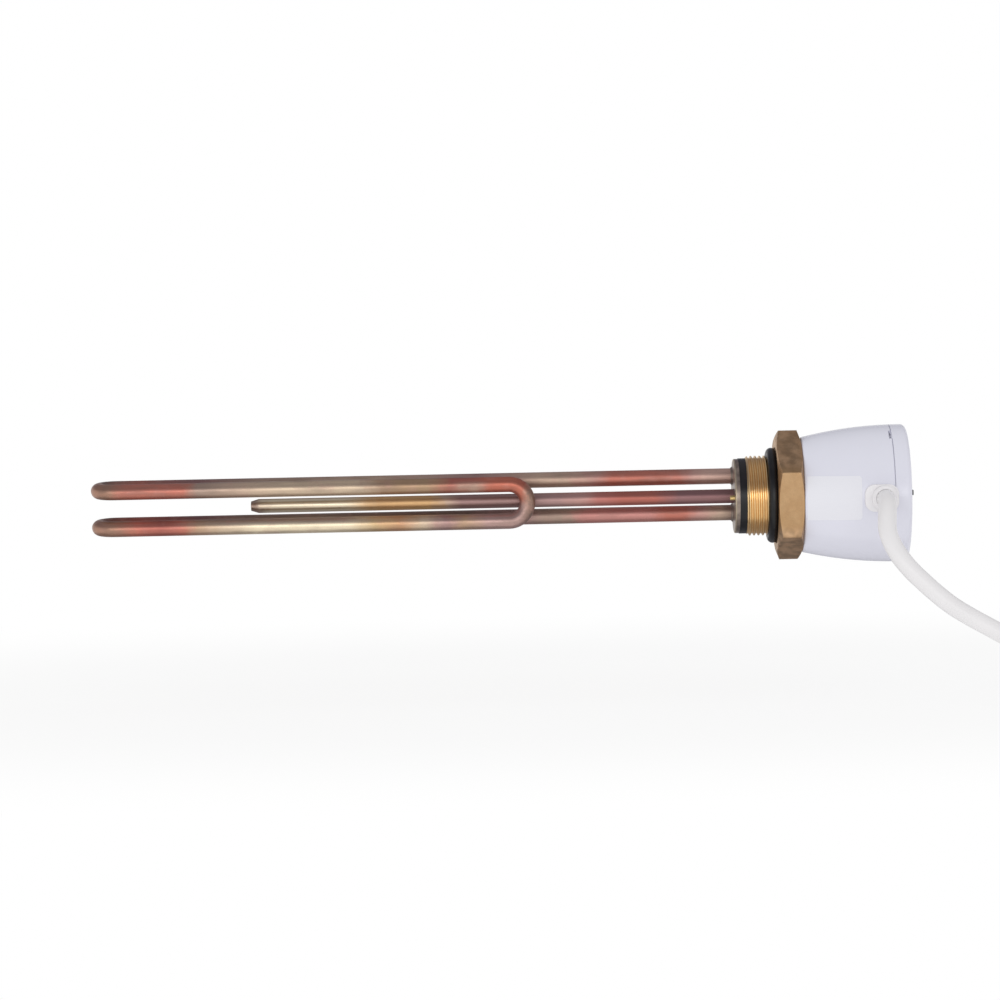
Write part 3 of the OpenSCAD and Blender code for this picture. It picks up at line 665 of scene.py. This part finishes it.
def thread_group():
    """A sleeve with a helical thread along X, open at both ends."""
    group, plan, given = node_group("plug_thread", {
        "Crest radius": "Float", "Depth": "Float", "Pitch": "Float", "Start": "Float", "End": "Float",
        "Relief radius": "Float", "Lead-in": "Float", "Phase": "Float", "Flat share": "Float",
        "Run-out start": "Float", "Run-out end": "Float", "Along": "Int", "Around": "Int",
        "Material": "Material"})
    grid = plan.add("GeometryNodeMeshGrid", None, {
        "Size X": 1.0, "Size Y": 1.0, "Vertices X": given["Along"], "Vertices Y": given["Around"]})
    u, v, _ = plan.parts(plan.add("GeometryNodeInputPosition"))
    station = given["Start"] + (u + 0.5) * (given["End"] - given["Start"])
    turn = v + 0.5
    phase = (station / given["Pitch"] - turn + given["Phase"]).function("FRACT")
    ridge = ((phase - 0.5).function("ABSOLUTE") * 2).step(given["Flat share"], 1 - given["Flat share"])
    threaded = given["Crest radius"] - given["Depth"] * (1 - ridge)
    chamfer = given["Crest radius"] - given["Lead-in"] + station - given["Start"]
    threaded = threaded.function("MINIMUM", chamfer)
    shoulder = station.step(given["Run-out start"], given["Run-out end"])
    radius = threaded + shoulder * (given["Relief radius"] - threaded)
    angle = turn * math.tau
    place = plan.vector(station, radius * angle.function("COSINE"), radius * angle.function("SINE"))
    shaped = plan.add("GeometryNodeSetPosition", None, {"Geometry": grid, "Position": place})
    closed = plan.add("GeometryNodeMergeByDistance", None, {"Geometry": shaped, "Distance": SAME_POINT})
    finish_group(plan, closed, given["Material"])
    return group


def axis_distance(place):
    return math.hypot(place.y, place.z)


def edge_ring(bm, x, radius):
    """The open edges at a station, at about a radius."""
    def on_ring(edge):
        middle = (edge.verts[0].co + edge.verts[1].co) / 2
        return abs(middle.x - x) < RING_X_PLAY and abs(axis_distance(middle) - radius) < RING_R_PLAY
    return [e for e in bm.edges if e.is_boundary and on_ring(e)]


def corner_edges(bm):
    """The six edges along the hexagon's corners."""
    corner_r = max(axis_distance(v.co) for v in bm.verts)

    def on_corner(edge):
        ends = [v.co for v in edge.verts]
        return (abs(ends[0].x - ends[1].x) > CORNER_MIN_LENGTH
                and all(axis_distance(end) > corner_r - CORNER_PLAY for end in ends))
    return [e for e in bm.edges if on_corner(e)]


def cut_hexagon(bm):
    """Cuts the plain sleeve off and rounds the corners. Gives the cut's outer and inner radius."""
    bmesh.ops.remove_doubles(bm, verts=bm.verts, dist=SAME_POINT)
    bmesh.ops.bisect_plane(bm, geom=[*bm.verts, *bm.edges, *bm.faces], plane_co=(THREAD_CUT_X, 0, 0),
                           plane_no=(1, 0, 0), clear_inner=True, dist=SAME_PLANE)
    cut = [axis_distance(v.co) for v in bm.verts if abs(v.co.x - THREAD_CUT_X) < SAME_POINT]
    bmesh.ops.dissolve_limit(bm, angle_limit=FLAT_ANGLE, verts=bm.verts, edges=bm.edges)
    bmesh.ops.bevel(bm, geom=corner_edges(bm), offset=HEX_ROUND, offset_type="OFFSET",
                    segments=HEX_ROUND_STEPS, profile=0.5, affect="EDGES", clamp_overlap=True)
    bmesh.ops.dissolve_degenerate(bm, dist=EMPTY_FACE, edges=bm.edges)
    return max(cut), min(cut)


def make_plug(material):
    """The hexagon as it is in the frame, with a threaded sleeve in place of its plain one."""
    mount = next(m for m in frame["record"]["mounts"] if m["name"] == "plug_thread")
    crest_r = mount["dims"]["r_mm"] * MM
    start_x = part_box("screw_plug")[0].x
    bm = bmesh.new()
    bm.from_mesh(frame["nodes"]["screw_plug"].data)
    relief_r, bore_r = cut_hexagon(bm)
    bm.from_mesh(run_nodes("plug_thread", thread_group(), {
        "Crest radius": crest_r, "Depth": THREAD_DEPTH, "Pitch": THREAD_PITCH, "Start": start_x,
        "End": SLEEVE_END_X, "Relief radius": relief_r, "Lead-in": LEAD_IN, "Phase": THREAD_PHASE,
        "Flat share": THREAD_FLAT_SHARE, "Run-out start": RUN_OUT_X[0], "Run-out end": RUN_OUT_X[1],
        "Along": SLEEVE_ROWS, "Around": SLEEVE_COLUMNS, "Material": material}))
    front = edge_ring(bm, start_x, crest_r - LEAD_IN)
    inner = bmesh.ops.extrude_edge_only(bm, edges=front)["geom"]
    for vert in {v for v in inner if isinstance(v, bmesh.types.BMVert)}:
        vert.co.yz = vert.co.yz * (bore_r / axis_distance(vert.co))
    for open_x, radius in ((start_x, bore_r), (SLEEVE_END_X, relief_r)):
        rings = edge_ring(bm, open_x, radius) + edge_ring(bm, THREAD_CUT_X, radius)
        bmesh.ops.bridge_loops(bm, edges=rings)
    return new_piece("threaded_plug", finished_mesh("threaded_plug", bm, PLUG_SHARP_ANGLE), material)


# The bare label

def make_label(material):
    """A plain label laid on the housing, on the side that the cord leaves. It is a thin closed sheet."""
    tree = BVHTree.FromObject(frame["nodes"]["head_housing"], bpy.context.evaluated_depsgraph_get())
    low, high = LABEL_X
    bm = bmesh.new()
    rows = []
    for i in range(LABEL_ROWS + 1):
        x = low + (high - low) * i / LABEL_ROWS
        into_corner = max(0.0, LABEL_CORNER - (high - x))
        half = LABEL_HALF_H - LABEL_CORNER + math.sqrt(max(0.0, LABEL_CORNER ** 2 - into_corner ** 2))
        row = []
        for k in range(LABEL_COLUMNS + 1):
            z = half * (2 * k / LABEL_COLUMNS - 1)
            hit = tree.ray_cast(Vector((x, RAY_START_Y, z)), Vector((0, 1, 0)))[0]
            outward = Vector((0, hit.y, hit.z)).normalized()
            face = bm.verts.new(hit + outward * LABEL_LIFT)
            row.append((face, bm.verts.new(hit - outward * LABEL_SINK)))
        rows.append(row)
    for a, b in zip(rows, rows[1:]):
        for k in range(LABEL_COLUMNS):
            for side in (0, 1):
                bm.faces.new((a[k][side], b[k][side], b[k + 1][side], a[k + 1][side]))
    upper_edge = [row[-1] for row in rows[1:-1]]
    lower_edge = [row[0] for row in rows[-2:0:-1]]
    border = rows[0] + upper_edge + rows[-1][::-1] + lower_edge
    for a, b in zip(border, border[1:] + border[:1]):
        bm.faces.new((a[0], b[0], b[1], a[1]))
    return new_piece("bare_label", finished_mesh("bare_label", bm, LABEL_SHARP_ANGLE), material)


# Stage

def stage_sheet(name, x_range, y_range, z, material):
    """A level rectangle of the stage."""
    (low_x, high_x), (low_y, high_y) = x_range, y_range
    corners = [(low_x, low_y, z), (high_x, low_y, z), (high_x, high_y, z), (low_x, high_y, z)]
    mesh = bpy.data.meshes.new(name)
    mesh.from_pydata(corners, [], [(0, 1, 2, 3)])
    sheet = new_piece(name, mesh, material)
    return sheet


def make_floor():
    """A pale floor that takes the shadow near the object and fades into the white background."""
    finish = Finish("pale_floor")
    x, y, _ = finish.parts(finish.place)
    across = (x - FLOOR_MIDDLE_X) / FLOOR_STRETCH
    away = (across * across + y * y).function("SQRT").step(*FLOOR_FADE)
    seen = finish.seen()
    matt = finish.add("ShaderNodeBsdfDiffuse", None, {"Color": FLOOR_GREY})
    glow = finish.add("ShaderNodeEmission", None, {"Color": WHITE, "Strength": 1.0})
    share = seen * away.to(*FLOOR_GLOW) + (1 - seen) * FLOOR_GLOW_UNSEEN
    material = finish.closed(finish.add("ShaderNodeMixShader", None, {0: share, 1: matt, 2: glow}))
    side = (-FLOOR_HALF_WIDTH, FLOOR_HALF_WIDTH)
    stage_sheet("floor", side, side, cad_box[0].z - FLOOR_GAP, material)


def make_dark_card():
    """A dark card on the floor. Only reflections show it, as the darker underside of the metal."""
    finish = Finish("dark_card")
    material = finish.closed(finish.add("ShaderNodeBsdfDiffuse", None, {"Color": CARD_GREY}))
    card = stage_sheet("dark_card", CARD_X, CARD_Y, cad_box[0].z + CARD_LIFT, material)
    card.visible_camera = card.visible_diffuse = card.visible_transmission = card.visible_shadow = False


def make_world():
    """A white room that lights evenly. What shows of it is white low down and grey above."""
    world = bpy.data.worlds.new("studio")
    world.use_nodes = True
    scene.world = world
    plan = Plan(world.node_tree)
    plan.tree.nodes.clear()
    seen = plan.seen()
    _, _, height = plan.parts(plan.add("ShaderNodeTexCoord"))
    sky = plan.add("ShaderNodeValToRGB", {"stops": SKY}, {0: height})
    shown = plan.add("ShaderNodeBackground", None, {"Color": sky, "Strength": 1.0})
    lit = plan.add("ShaderNodeBackground", None, {"Color": WHITE, "Strength": ROOM_STRENGTH})
    both = plan.add("ShaderNodeMixShader", None, {0: seen, 1: lit, 2: shown})
    plan.add("ShaderNodeOutputWorld", None, {0: both})


def make_softbox():
    """One wide lamp in front, for the long highlights on the metal."""
    data = bpy.data.lights.new("front_softbox", "AREA")
    data.shape = "RECTANGLE"
    data.size, data.size_y = SOFTBOX_SIZE
    data.energy = SOFTBOX_POWER
    light = bpy.data.objects.new("front_softbox", data)
    light.visible_camera = False
    direction = Vector(SOFTBOX_TARGET) - Vector(SOFTBOX_PLACE)
    turn = direction.to_track_quat("-Z", "Y").to_matrix().to_4x4()
    light.matrix_world = Matrix.Translation(SOFTBOX_PLACE) @ turn
    scene.collection.objects.link(light)


# The object

make_camera()

white_sheath = moulded("white_sheath", srgb(231, 229, 230), 0.42, unevenness=0.02, grain_size=0.8)
cord = make_cord(white_sheath)
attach(cord, "heater")
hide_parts("cord_tube", "cord_coil", "cord_tail")

brass = machined_brass()
plug = make_plug(brass)
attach(plug, "heater")
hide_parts("screw_plug")

label = make_label(label_film())
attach(label, "heater")

rubber = black_rubber()
head_plastic = moulded(
    "head_plastic", srgb(220, 220, 231), 0.24, unevenness=0.012, grain_size=1.2, bump=0.02)
small_brass = metal("small_brass", srgb(220, 190, 130), 0.36)
plated_steel = metal("plated_steel", srgb(196, 197, 200), 0.34)
FINISHES = {
    "heating_element": heated_copper(),
    "thermowell": heated_brass_tube(),
    "element_plate": brazed_plate(),
    "seal_ring": rubber,
    "plug_o_ring": rubber,
    "screw_plug": brass,
    "head_housing": head_plastic,
    "end_cover": head_plastic,
    "cord_gland": moulded("gland_plastic", srgb(231, 229, 231), 0.38, unevenness=0.02, grain_size=0.8),
    "mains_plug": moulded("mains_plug_plastic", srgb(232, 230, 228), 0.45, 0.03, grain_size=0.6, bump=0.12),
    "setting_spindle": moulded("spindle_plastic", srgb(30, 30, 32), 0.4),
    "reset_button": moulded("button_plastic", srgb(190, 46, 38), 0.3),
    "thermostat_body": moulded("thermostat_plastic", srgb(46, 46, 49), 0.5, 0.1, grain_size=0.4, bump=0.1),
    "clamp_disc": moulded("insulating_board", srgb(64, 54, 46), 0.7, 0.15, grain_size=0.4, bump=0.3),
    "end_seals": moulded("ceramic_beads", srgb(228, 224, 214), 0.5, 0.05, grain_size=0.3, bump=0.1),
    "cord_clamp": white_sheath,
    "coil_tie": moulded("tie_plastic", srgb(44, 44, 46), 0.5, 0.08, grain_size=0.4, bump=0.1),
    "lead_live": moulded("live_insulation", srgb(110, 66, 40), 0.45),
    "lead_neutral": moulded("neutral_insulation", srgb(52, 96, 180), 0.45),
    "lead_earth": earth_insulation(),
    "cord_tube": white_sheath,
    "cord_coil": white_sheath,
    "cord_tail": white_sheath,
}
BRASS_NODES = [
    "clamp_nut", "earth_stud", "earth_nuts", "link_straps", "terminal_screws", "mains_earth_clips"]
STEEL_NODES = [
    "clamp_washer", "earth_lug", "terminal_pins", "housing_screws", "thermostat_rod",
    "thermostat_screws", "clamp_screws", "mains_pins"]
FINISHES.update({name: small_brass for name in BRASS_NODES})
FINISHES.update({name: plated_steel for name in STEEL_NODES})
for name, node in frame["nodes"].items():
    for slot in node.material_slots:
        slot.material = FINISHES[name]

make_floor()
make_dark_card()
make_world()
make_softbox()
